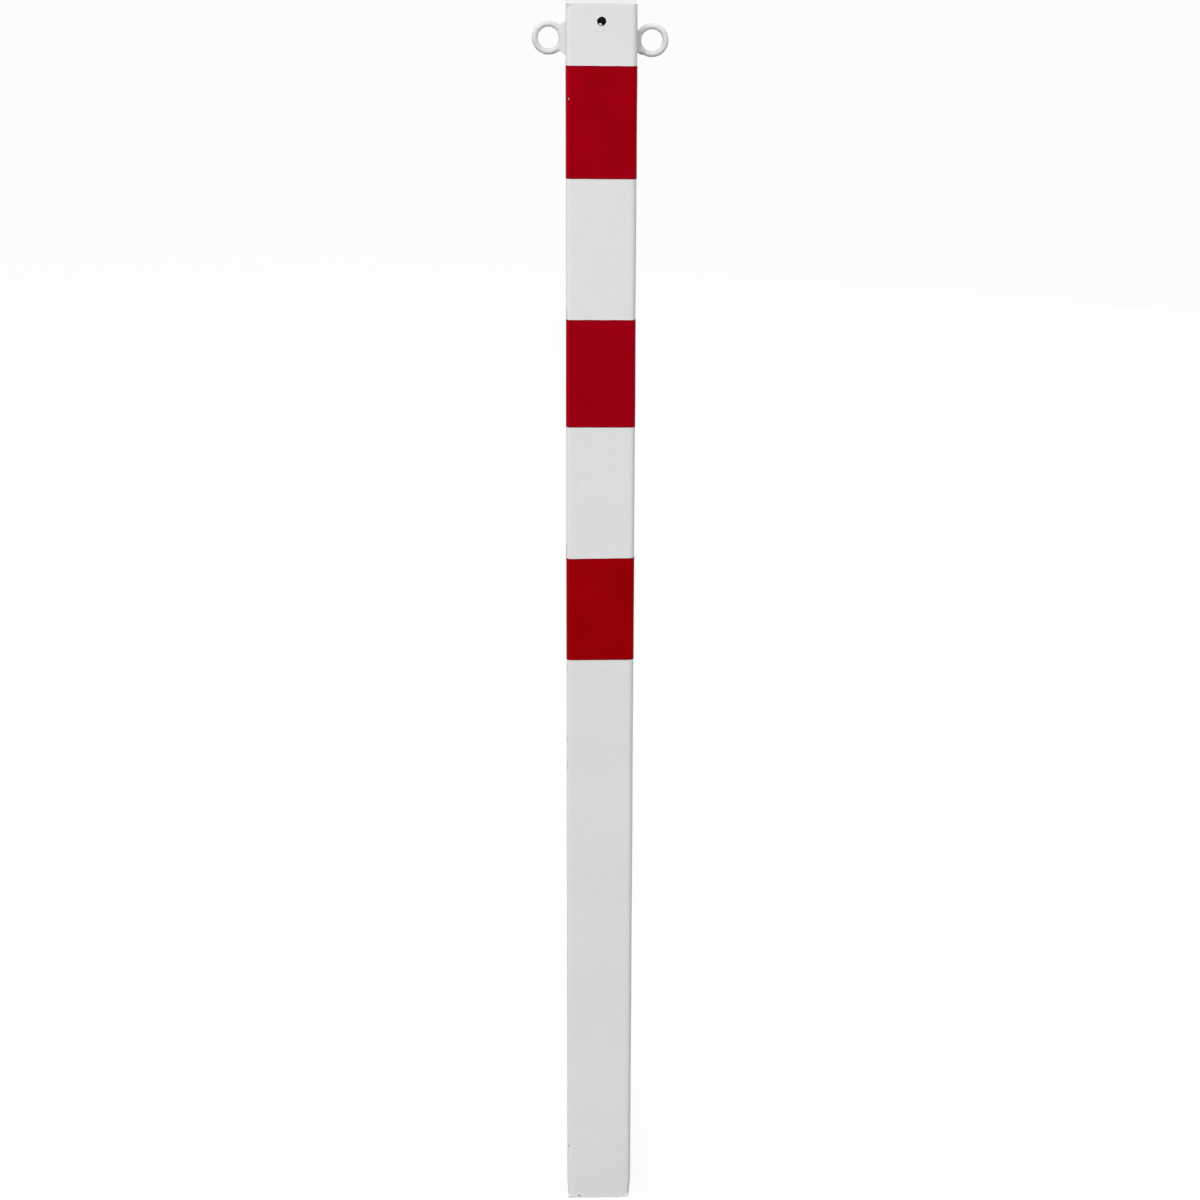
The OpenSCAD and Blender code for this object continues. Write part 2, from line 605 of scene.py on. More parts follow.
class TreeMaker:
    """A geometry tree with named inputs, built once and run for each piece."""

    KINDS = {float: "NodeSocketFloat", int: "NodeSocketInt", tuple: "NodeSocketVector",
             bpy.types.Material: "NodeSocketMaterial"}

    def __init__(self, name: str, inputs: Mapping[str, type]) -> None:
        """Opens a tree with these inputs besides its geometry.

        Args:
            name: the tree's name.
            inputs: the kind of each named input.
        """
        self.tree = bpy.data.node_groups.new(name, "GeometryNodeTree")
        face = self.tree.interface
        face.new_socket("Geometry", in_out="INPUT", socket_type="NodeSocketGeometry")
        for label, kind in inputs.items():
            face.new_socket(label, in_out="INPUT", socket_type=self.KINDS[kind])
        face.new_socket("Geometry", in_out="OUTPUT", socket_type="NodeSocketGeometry")
        self.graph = Graph(self.tree)
        self.entry = self.graph.node("NodeGroupInput")

    def given(self, label: str) -> Value:
        """The named input."""
        return self.graph.out(self.entry, label)

    def close(self, geometry: Value) -> None:
        """Ends the tree: smooth shading, plain geometry and the material.

        Args:
            geometry: what the tree has made.
        """
        graph = self.graph
        smooth = graph.make("GeometryNodeSetShadeSmooth", {"Geometry": geometry})
        real = graph.make("GeometryNodeRealizeInstances", {"Geometry": smooth})
        dressed = graph.make("GeometryNodeSetMaterial", {
            "Geometry": real, "Material": self.given("Material")})
        graph.node("NodeGroupOutput", {"Geometry": dressed})

    def grow(self, name: str, values: Mapping[str, Any],
             seed: Optional[bpy.types.Mesh] = None) -> bpy.types.Mesh:
        """Runs the tree.

        Args:
            name: the new mesh's name.
            values: what the named inputs take.
            seed: the mesh that goes in, if the tree needs one.

        Returns:
            The plain mesh, without a modifier.
        """
        host = add_object(name, seed or bpy.data.meshes.new(name))
        modifier = host.modifiers.new(name, "NODES")
        modifier.node_group = self.tree
        for item in self.tree.interface.items_tree:
            if item.in_out == "INPUT" and item.name in values:
                modifier[item.identifier] = values[item.name]
        host.update_tag()
        graph = bpy.context.evaluated_depsgraph_get()
        mesh = bpy.data.meshes.new_from_object(host.evaluated_get(graph))
        mesh.name = name
        bpy.data.objects.remove(host)
        return mesh


# The post's form


@dataclass
class PostForm:
    """The straight post's sizes, and how the real one departs from them.

    The post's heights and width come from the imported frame. The rest says how far the
    lid's right front corner is ground down and the cut foot rises to the right, how the
    foot's sides are pressed in, how much the faces wave, and where an edge has a dent.
    lean_from and foot_from are the shares of half the width where the first two begin.
    """

    RIPPLE = 0.3
    SKEW = 3.0
    DENT_FALL = 1.6

    corner_r: float = 5.0 * MM
    wall: float = 2.5 * MM
    top_droop: float = 1.5 * MM
    top_stretch: float = 12.0 * MM
    lean_from: float = -0.2
    foot_lift: float = 0.95 * MM
    foot_stretch: float = 34.0 * MM
    foot_from: float = -0.1
    press_left: float = 1.0 * MM
    press_right: float = 1.6 * MM
    press_height: float = 24.0 * MM
    wave: float = 0.10 * MM
    bow_waves: Pair = (0.37, 0.11)
    dish_waves: Pair = (0.31, 0.13)
    dents: tuple[Spot, ...] = (
        Spot.mm((-34.6, -33.2, 63.3), (2.0, 3.2, 2.1), 1.9),
    )
    half: float = field(init=False)
    tube_top: float = field(init=False)
    top: float = field(init=False)

    def __post_init__(self) -> None:
        """Reads the tube's width and both heights from the frame."""
        self.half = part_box("post_tube")[1].x
        self.tube_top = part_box("post_tube")[1].z
        self.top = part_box("lid_weld")[1].z

    @property
    def flat(self) -> float:
        """Width of a face between its two corners."""
        return 2.0 * (self.half - self.corner_r)

    @property
    def quarter(self) -> float:
        """Length of one face and one corner, measured round the skin."""
        return self.flat + self.corner_r * math.pi / 2.0

    def stations(self, flat_cells: int, corner_cells: int) -> np.ndarray:
        """Distances round the skin from the middle of the rear face, for one whole turn.

        Args:
            flat_cells: how many cells each face has.
            corner_cells: how many each corner has.

        Returns:
            The distances.
        """
        side = np.concatenate([
            np.linspace(0.0, self.flat, flat_cells, endpoint=False),
            np.linspace(self.flat, self.quarter, corner_cells, endpoint=False)])
        turn = np.concatenate([side + k * self.quarter for k in range(4)])
        return turn - self.flat / 2.0

    def skeleton(self, s: np.ndarray) -> tuple[np.ndarray, np.ndarray]:
        """The square that the corners are rounded about.

        Args:
            s: distances round the skin from the middle of the rear face, towards -X.

        Returns:
            The points on that square, and the outward normals.
        """
        run = np.mod(s + self.flat / 2.0, 4.0 * self.quarter)
        side = np.minimum(run // self.quarter, 3.0)
        along = run - side * self.quarter
        turn = math.pi / 2.0 * (1.0 + side)
        bend = np.clip((along - self.flat) / (self.quarter - self.flat), 0.0, 1.0)
        reach = self.half - self.corner_r
        slide = np.minimum(along, self.flat) - self.flat / 2.0
        normal = np.stack([np.cos(turn), np.sin(turn)], -1)
        tangent = np.stack([-np.sin(turn), np.cos(turn)], -1)
        angle = turn + bend * math.pi / 2.0
        return (normal * reach + tangent * slide[..., None],
                np.stack([np.cos(angle), np.sin(angle)], -1))

    def skin(self, s: np.ndarray, z: np.ndarray, lift: np.ndarray) -> np.ndarray:
        """Points at a lift from the outer skin; s, z and lift are broadcast together.

        Args:
            s: distances round the skin.
            z: heights.
            lift: how far outside the skin the points are.

        Returns:
            The points, bent to shape.
        """
        s, z, lift = np.broadcast_arrays(s, z, lift)
        base, normal = self.skeleton(s)
        flat = base + normal * (self.corner_r + lift)[..., None]
        return self.settle(np.concatenate([flat, z[..., None]], -1))

    def settle(self, points: np.ndarray) -> np.ndarray:
        """Bends points of the straight post to the real one's shape.

        Args:
            points: points of the straight post.

        Returns:
            The real one's points.
        """
        x, y, z = (points[..., k].copy() for k in range(3))
        press = np.where(x > 0, self.press_right, self.press_left)
        narrow = 1.0 - press / self.half * (1.0 - rise(z, 0.0, self.press_height))
        foot = self.foot_lift * rise(x, self.foot_from * self.half, self.half) \
            * (1.0 - rise(z, 0.0, self.foot_stretch))
        wide, deep = x / self.half, y / self.half
        lean = -self.top_droop * np.clip(wide, 0.0, 1.0) ** 2 \
            * rise(-deep, self.lean_from, 1.0) \
            * rise(z, self.top - self.top_stretch, self.top)
        bow = self._bulge(z, y, wide, self.bow_waves, 3)
        dish = self._bulge(z, x, deep, self.dish_waves, 7)
        out = np.stack([x * narrow + bow, y + dish, z + foot + lean], -1)
        for dent in self.dents:
            gap = (points - np.array(dent.place)) / np.array(dent.radii)
            depth = dent.rise * np.exp(-(gap ** 2).sum(-1) * self.DENT_FALL)
            inward = -points[..., :2] / (np.linalg.norm(points[..., :2], axis=-1)[..., None]
                                         + 1e-9)
            out[..., :2] += inward * depth[..., None]
        return out

    def _bulge(self, z: np.ndarray, across: np.ndarray, share: np.ndarray,
               lengths: Pair, seed: int) -> np.ndarray:
        """How far two opposite faces bulge.

        Args:
            z: heights.
            across: places across those faces.
            share: places from face to face, from -1 to 1.
            lengths: the lengths of a long wave and of a weaker, skewed one.
            seed: the first wave's seed.

        Returns:
            The shifts along share.
        """
        long, short = lengths
        return self.wave * (waves(z, long, seed) * share
                            + waves(z + self.SKEW * across, short, seed + 2)
                            * self.RIPPLE * share)


# The tube


@dataclass
class Tube:
    """The square tube with its vent hole and the thick edge that the coat has at its foot.

    The hole has a burr at its lower left. BURR is that burr's section: how far each of
    its points stands inward from the hole's wall and forward, in mm, and its material.
    BEAD is the section of the coat's thick edge, as shares of bead and heights in mm.
    LIP is that of the coat's lip round the hole, as distances from its wall in mm and
    shares of lip. BORE says how far the hole's wall stays from the front and the inner
    face, and RIM how much wider and less deep the loop after the burr is. Cells and rows
    are counts. COAT and ZINC are the materials' numbers.
    """

    COAT, ZINC = 0, 1
    BURR = ((0.6, 0.3, ZINC), (0.9, 1.5, ZINC), (1.0, 2.1, COAT), (1.5, 2.5, COAT),
            (2.2, 2.3, COAT), (2.45, 1.7, COAT), (2.5, 0.3, ZINC))
    BURR_ROOT = -0.36
    BURR_STEP = 0.04
    BEAD = ((0.6, 0.8), (1.0, 1.3), (0.7, 1.9), (0.15, 2.7))
    LIP = ((0.75, 0.4), (0.45, 1.0), (0.20, 0.8), (0.05, 0.1))
    BORE = (0.2 * MM, 0.4 * MM)
    RIM = (0.15 * MM, 0.05 * MM)
    BURR_FALL = 4
    LEVEL_ROW = 0.3 * MM
    FACING = -0.99
    ARC_STEPS = 5
    HOLE_STEPS = 6

    form: PostForm
    coat: bpy.types.Material
    zinc: bpy.types.Material
    vent_r: float = 4.45 * MM
    vent_drop: float = 18.0 * MM
    vent_x: float = 0.0
    patch: float = 9.0 * MM
    patch_cells: int = 18
    flat_cells: int = 60
    corner_cells: int = 8
    outer_foot: float = 4.0 * MM
    outer_rows: tuple[int, int, int, int] = (22, 26, 100, 4)
    inner_foot: float = 24.0 * MM
    inner_rows: tuple[int, int] = (30, 8)
    dent_room: float = 6.0 * MM
    edge_r: float = 0.3 * MM
    bead: float = 0.16 * MM
    lip: float = 0.14 * MM
    burr_angle: float = math.radians(249.0)
    burr_spread: float = 0.52
    rim_outer: float = 1.1 * MM
    rim_inner: float = 0.6 * MM

    @property
    def vent_z(self) -> float:
        """Height of the vent hole's centre."""
        return self.form.top - self.vent_drop

    def heights(self) -> np.ndarray:
        """Heights of the outer wall's rows between its foot edge and its top.

        Returns:
            The heights.
        """
        dent_z = self.form.dents[0].place[2]
        dent_low, dent_high = dent_z - self.dent_room, dent_z + self.dent_room
        low, high = self.vent_z - self.patch, self.vent_z + self.patch
        below, beside, above, top = self.outer_rows
        return np.concatenate([
            np.linspace(self.outer_foot, dent_low, below, endpoint=False),
            np.linspace(dent_low, dent_high, beside, endpoint=False),
            np.linspace(dent_high, low, above, endpoint=False),
            np.linspace(low, high, self.patch_cells, endpoint=False),
            np.linspace(high, self.form.tube_top, top)])

    def profile(self) -> tuple[np.ndarray, np.ndarray, int]:
        """The wall's section, once round.

        Returns:
            Insets from the outer skin, heights, and the row where the inner wall starts.
        """
        wall, edge, top = self.form.wall, self.edge_r, self.form.tube_top
        arc = np.linspace(0.0, math.pi / 2.0, self.ARC_STEPS)
        foot = [(edge * (1 - math.sin(a)), edge * (1 - math.cos(a))) for a in arc]
        bead = [(-self.bead * share, z * MM) for share, z in self.BEAD]
        outer = foot + bead + [(0.0, z) for z in self.heights()]
        low, high = self.vent_z - self.patch, self.vent_z + self.patch
        upper, lower = self.inner_rows
        rows = np.concatenate([
            np.linspace(high, low, self.patch_cells, endpoint=False),
            np.linspace(low, self.inner_foot, upper, endpoint=False),
            np.linspace(self.inner_foot, edge, lower)])
        inner = [(wall, top)] + [(wall, z) for z in rows]
        rim = [(wall - edge * (1 - math.cos(a)), edge * (1 - math.sin(a))) for a in arc[1:]]
        section = np.array(outer + inner + rim)
        return section[:, 0], section[:, 1], len(outer)

    def mesh(self) -> bpy.types.Mesh:
        """Builds the tube.

        Returns:
            The tube's mesh.
        """
        s = self.form.stations(self.flat_cells, self.corner_cells)
        inset, z, inner = self.profile()
        loops = self.form.skin(s[None, :], z[:, None], -inset[:, None])
        base, normal = self.form.skeleton(s + 1e-6)
        mid = base[:, 0] + 0.5 * self.form.flat / self.flat_cells
        front = (normal[:, 1] < self.FACING) & (np.abs(mid - self.vent_x) < self.patch)
        following = np.roll(z, -1)
        level = np.abs((z + following) / 2.0 - self.vent_z) < self.patch
        wall_row = np.abs(z - following) > self.LEVEL_ROW
        keep = ~((level & wall_row)[:, None] & front[None, :])
        shell = Shell()
        slots = [self.ZINC if row >= inner else self.COAT for row in range(len(z))]
        shell.loft(loops, ring=True, keep=keep, slots=slots)
        vent, vent_slots = self.vent()
        shell.loft(vent, slots=vent_slots)
        return shell.mesh("post_tube_coated", [self.coat, self.zinc])

    def vent(self) -> tuple[np.ndarray, list[int]]:
        """The loops from the front face through the vent hole to the inner face.

        Returns:
            The loops, and the material number from each one to the next.
        """
        n = self.patch_cells
        edge = np.linspace(-1.0, 1.0, n, endpoint=False)
        ones = np.ones(n)
        square = np.stack([np.concatenate([edge, ones, -edge, -ones]),
                           np.concatenate([-ones, edge, ones, -edge])], -1)
        angle = np.arctan2(square[:, 1], square[:, 0])
        around = np.stack([np.cos(angle), np.sin(angle)], -1)
        turn = np.abs(np.mod(angle - self.burr_angle + math.pi, 2 * math.pi) - math.pi)
        burr = np.exp(-(turn / self.burr_spread) ** self.BURR_FALL)
        r, wall, loops, slots = self.vent_r, self.form.wall, [], []

        def add(flat: np.ndarray, depth: Union[float, np.ndarray],
                slot: int = self.COAT) -> None:
            """Adds a loop of (x, z) offsets at a depth below the front face.

            Args:
                flat: the offsets from the hole's middle.
                depth: the depth.
                slot: the material number from this loop to the next.
            """
            y = np.broadcast_to(-self.form.half + depth, len(flat))
            loops.append(np.stack([self.vent_x + flat[:, 0], y,
                                   self.vent_z + flat[:, 1]], -1))
            slots.append(slot)

        outer, inner = around * (r + self.rim_outer), around * (r + self.rim_inner)
        for t in np.linspace(0.0, 1.0, self.HOLE_STEPS):
            add(square * self.patch * (1 - t) + outer * t, 0.0)
        for wide, lift in self.LIP:
            add(around * (r + wide * MM), -self.lip * lift)
        for depth in np.linspace(self.BORE[0], wall - self.BORE[1], self.HOLE_STEPS):
            add(around * r, depth, self.ZINC)
        for row, (inward, forward, slot) in enumerate(self.BURR):
            depth = wall + (self.BURR_STEP * row + self.BURR_ROOT) * MM - burr * forward * MM
            add(around * (r - burr * inward * MM)[:, None], depth, slot)
        add(around * (r + self.RIM[0]), wall - self.RIM[1], self.ZINC)
        for t in np.linspace(1.0, 0.0, self.ARC_STEPS):
            add(square * self.patch * (1 - t) + inner * t, wall, self.ZINC)
        return self.form.settle(np.array(loops)), slots


@dataclass(frozen=True)
class Drip:
    """A drop of coat on the foot's front edge: its place along it and its three sizes."""

    x: float
    z: float
    size: Triple


@dataclass
class FootDrips:
    """Drops of zinc and coat that set along the cut edge while the post hung."""

    form: PostForm
    coat: bpy.types.Material
    drips: tuple[Drip, ...] = (
        Drip(-32.2, 1.9, (2.1, 1.4, 1.7)),
        Drip(-22.1, 4.5, (2.3, 0.9, 1.2)),
        Drip(-21.5, 1.6, (3.1, 1.3, 1.6)),
        Drip(-27.3, 1.3, (1.5, 0.7, 1.1)),
        Drip(19.4, 4.0, (0.9, 0.9, 1.2)),
        Drip(20.5, 2.0, (1.2, 1.1, 1.2)),
        Drip(23.6, 2.2, (1.0, 0.7, 1.1)),
        Drip(26.6, 2.3, (0.9, 0.7, 1.0)),
        Drip(29.4, 2.6, (0.9, 1.0, 1.2)),
        Drip(31.9, 2.8, (1.2, 1.5, 1.3)),
    )
    sunk: float = 0.45 * MM
    roughness: float = 0.7 * MM
    grain: float = 330.0
    seed: int = 11

    def tree(self) -> TreeMaker:
        """Builds the tree that sets a lump on every point and roughens it.

        Returns:
            The tree.
        """
        maker = TreeMaker("drips", {"Material": bpy.types.Material, "Roughness": float,
                                    "Seed": float})
        graph = maker.graph
        lump = graph.make("GeometryNodeMeshIcoSphere", {"Radius": 1.0, "Subdivisions": 4})
        size = graph.make("GeometryNodeInputNamedAttribute", {"Name": "size"},
                          data_type="FLOAT_VECTOR")
        spread = graph.make("GeometryNodeInstanceOnPoints", {
            "Points": maker.given("Geometry"), "Instance": lump, "Scale": size})
        real = graph.make("GeometryNodeRealizeInstances", {"Geometry": spread})
        place = graph.make("GeometryNodeInputPosition")
        shift = graph.wobble(place, self.grain, maker.given("Roughness"),
                             maker.given("Seed"))
        maker.close(graph.make("GeometryNodeSetPosition", {
            "Geometry": real, "Offset": shift}))
        return maker

    def mesh(self) -> bpy.types.Mesh:
        """Runs the tree over the drips' places.

        Returns:
            The drips' mesh.
        """
        front = -self.form.half + self.sunk
        seed = bpy.data.meshes.new("drip_places")
        seed.from_pydata([(d.x * MM, front, d.z * MM) for d in self.drips], [], [])
        sizes = seed.attributes.new("size", "FLOAT_VECTOR", "POINT")
        sizes.data.foreach_set("vector", np.array([d.size for d in self.drips]).ravel() * MM)
        return self.tree().grow("foot_drips", {
            "Material": self.coat, "Roughness": self.roughness,
            "Seed": float(self.seed)}, seed)


# The lid


@dataclass
class Lid:
    """The lid plate and the ground weld seam round it, with its unfilled corner.

    PLATE_LOOPS shrinking loops fill the plate's upper face, and the outermost UNDER_LOOPS
    of them its lower face. ground_w is the share of the seam's width that is ground.
    NOTCH_WAVE and both GRIND_WAVES are a length and a seed, and WEAKER is what the second
    of those weighs. SHOULDER is the share of the groove by which the plate's edge is broken.
    """

    PLATE_LOOPS = 13
    UNDER_LOOPS = 4
    INNERMOST = 0.04
    CROWN_STEPS = 8
    NOTCH_WAVE = (3.0 * MM, 21)
    GRIND_WAVES = ((9.0 * MM, 23), (4.0 * MM, 24))
    WEAKER = 0.5
    FIRST_ROW = 0.5 * MM
    SEAM_ROWS = 5
    PLATE_ROWS = 4
    SHOULDER = 0.3

    form: PostForm
    coat: bpy.types.Material
    seam_w: float = 1.5 * MM
    ground_w: float = 0.6
    edge_r: float = 0.6 * MM
    notch_h: float = 1.4 * MM
    notch_reach: float = 3.8 * MM
    notch_shift: float = 1.3 * MM
    notch_uneven: float = 0.15
    groove: float = 0.16 * MM
    flat_cells: int = 110
    corner_cells: int = 20
    ripple: float = 0.07 * MM
    ground_h: float = 1.2 * MM
    ground_in: float = 0.02 * MM

    def seam(self) -> bpy.types.Mesh:
        """Builds the weld seam.

        Returns:
            The seam's mesh.
        """
        base = self.form.tube_top
        s = self.form.stations(self.flat_cells, self.corner_cells)
        corner = 2.0 * self.form.quarter - self.form.flat / 2.0 \
            - self.form.corner_r * math.pi / 4.0
        off = np.abs(s - corner - self.notch_shift) / self.notch_reach
        gap = self.notch_h * np.sqrt(np.clip(1.0 - off ** 2, 0.0, 1.0)) \
            * (1.0 + self.notch_uneven * waves(s, *self.NOTCH_WAVE))
        top = self.form.top
        arc = np.radians(np.linspace(0.0, 90.0, self.CROWN_STEPS))
        crown = [(self.edge_r * (1 - math.cos(a)), top - self.edge_r * (1 - math.sin(a)))
                 for a in arc]
        outer = [(0.0, base), (0.0, base + self.FIRST_ROW)] + crown \
            + [(self.seam_w - self.groove, top)]
        inner = [(self.seam_w, z)
                 for z in np.linspace(top - self.groove, base, self.SEAM_ROWS)]
        section = np.array(outer + inner)
        z = np.maximum(section[:, 1][:, None], base + gap[None, :])
        inset = np.broadcast_to(section[:, 0][:, None], z.shape)
        strong, weak = (waves(s, *wave) for wave in self.GRIND_WAVES)
        ground = self.ripple * (strong + self.WEAKER * weak)
        depth = rise(z, base, base + self.ground_h) * (inset < self.ground_w * self.seam_w)
        shell = Shell()
        lift = -inset + ground * depth - self.ground_in * depth
        shell.loft(self.form.skin(s[None, :], z, lift), ring=True)
        return shell.mesh("lid_seam_ground", [self.coat], sharp=40.0)

    def plate(self) -> bpy.types.Mesh:
        """Builds the lid plate.

        Returns:
            The plate's mesh.
        """
        base, top = self.form.tube_top, self.form.top
        s = self.form.stations(self.flat_cells, self.corner_cells)
        groove, wide = self.groove, self.seam_w + self.groove
        edge = [(self.seam_w, z) for z in np.linspace(base, top - groove, self.PLATE_ROWS)]
        broken = self.SHOULDER * groove
        section = np.array(edge + [(self.seam_w + broken, top - broken), (wide, top)])
        rim = self.form.skin(s[None, :], section[:, 1][:, None], -section[:, 0][:, None])
        shares = np.linspace(1.0, self.INNERMOST, self.PLATE_LOOPS + 1)[1:]
        below = [self._shrink(s, base, self.seam_w, share)
                 for share in shares[::-1][-self.UNDER_LOOPS:]]
        above = [self._shrink(s, top, wide, share) for share in shares]
        shell = Shell()
        shell.loft(np.concatenate([below, rim, above]), caps=True)
        return shell.mesh("lid_plate", [self.coat], sharp=40.0)

    def _shrink(self, s: np.ndarray, z: float, inset: float, share: float) -> np.ndarray:
        """A loop on the plate's face, drawn in towards its middle to a share of its size.

        Args:
            s: distances round the skin.
            z: the face's height.
            inset: how far inside the skin the whole loop is.
            share: the share of its size that is left.

        Returns:
            The loop's points.
        """
        base, normal = self.form.skeleton(s)
        flat = (base + normal * (self.form.corner_r - inset)) * share
        level = np.full(len(s), z)
        return self.form.settle(np.concatenate([flat, level[:, None]], -1))


# The eyelets


class Side(Enum):
    """The post's two sides, with the sign of X on each."""

    LEFT = -1
    RIGHT = 1


@dataclass
class Eyelet:
    """A ring of round bar on one side of the post, and the weld that holds it."""

    GRAIN = 130.0

    form: PostForm
    coat: bpy.types.Material
    side: Side
    slit: float = 1.5 * MM
    uneven: float = 0.22 * MM
    sunk: float = 0.35 * MM
    voxel: float = 0.30 * MM
    bar_steps: int = 40
    ring_steps: int = 220

    @property
    def label(self) -> str:
        """The side's name as the nodes have it."""
        return self.side.name.lower()

    def __post_init__(self) -> None:
        """Reads the ring's place and sizes from the frame."""
        low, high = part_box(f"eyelet_{self.label}")
        self.bar_r = (high.y - low.y) / 2.0
        self.outer_r = (high.z - low.z) / 2.0
        self.z = (high.z + low.z) / 2.0
        far = high.x if self.side is Side.RIGHT else -low.x
        self.out = far - self.outer_r
        self.ring_r = self.outer_r - self.bar_r

    def ring(self, maker: TreeMaker) -> bpy.types.Mesh:
        """Runs the ring tree for this side.

        Args:
            maker: the ring tree.

        Returns:
            The ring's mesh.
        """
        turned = 0.0 if self.side is Side.LEFT else math.pi
        gap = 2.0 * math.asin(self.slit / 2.0 / self.ring_r)
        return maker.grow(f"eyelet_{self.label}_bar", {
            "Ring Radius": self.ring_r, "Bar Radius": self.bar_r,
            "Centre": (self.side.value * self.out, 0.0, self.z),
            "Start": turned + gap / 2.0, "Sweep": 2.0 * math.pi - gap,
            "Ring Steps": self.ring_steps, "Bar Steps": self.bar_steps,
            "Side": float(self.side.value), "Face": self.form.half - self.sunk,
            "Uneven": self.uneven, "Material": self.coat})

    @staticmethod
    def ring_tree() -> TreeMaker:
        """Builds the tree that bends a round bar to a ring and flattens its back.

        Returns:
            The tree.
        """
        maker = TreeMaker("bent_ring", {
            "Ring Radius": float, "Bar Radius": float, "Centre": tuple, "Start": float,
            "Sweep": float, "Ring Steps": int, "Bar Steps": int, "Side": float,
            "Face": float, "Uneven": float, "Material": bpy.types.Material})
        graph = maker.graph
        arc = graph.make("GeometryNodeCurveArc", {
            "Resolution": maker.given("Ring Steps"), "Radius": maker.given("Ring Radius"),
            "Start Angle": maker.given("Start"), "Sweep Angle": maker.given("Sweep")},
            mode="RADIUS")
        upright = graph.make("GeometryNodeTransform", {
            "Geometry": arc, "Translation": maker.given("Centre"),
            "Rotation": (math.pi / 2.0, 0.0, 0.0)})
        bar = graph.make("GeometryNodeCurvePrimitiveCircle", {
            "Resolution": maker.given("Bar Steps"), "Radius": maker.given("Bar Radius")})
        swept = graph.make("GeometryNodeCurveToMesh", {
            "Curve": upright, "Profile Curve": bar, "Fill Caps": True})
        place = graph.make("GeometryNodeInputPosition")
        shift = graph.wobble(place, Eyelet.GRAIN, maker.given("Uneven"))
        x, y, z = graph.split(graph.vector("ADD", place, shift))
        side = maker.given("Side")
        kept = graph.math("MAXIMUM", x * side, maker.given("Face")) * side
        maker.close(graph.make("GeometryNodeSetPosition", {
            "Geometry": swept, "Position": graph.join(kept, y, z)}))
        return maker

    def weld(self, maker: "WeldTree", low: Triple, high: Triple) -> bpy.types.Mesh:
        """Runs a weld tree for this side.

        Args:
            maker: the tree.
            low: nearest corner of the room that the weld may fill, from the face at the
                ring's height: outwards, along Y and up.
            high: its far corner.

        Returns:
            The weld's mesh.
        """
        sign = self.side.value
        xs = sorted(sign * (self.form.half + out) for out in (low[0], high[0]))
        corners = [(xs[0], low[1], self.z + low[2]), (xs[1], high[1], self.z + high[2])]
        cells = [max(2, round((b - a) / self.voxel)) for a, b in zip(*corners)]
        return maker.grow(f"weld_{self.label}_bead", {
            "Centre": (sign * self.out, 0.0, self.z), "Ring Radius": self.ring_r,
            "Bar Radius": self.bar_r, "Side": float(sign), "Face": self.form.half,
            "Min": corners[0], "Max": corners[1], "Cells X": cells[0],
            "Cells Y": cells[1], "Cells Z": cells[2], "Material": self.coat})


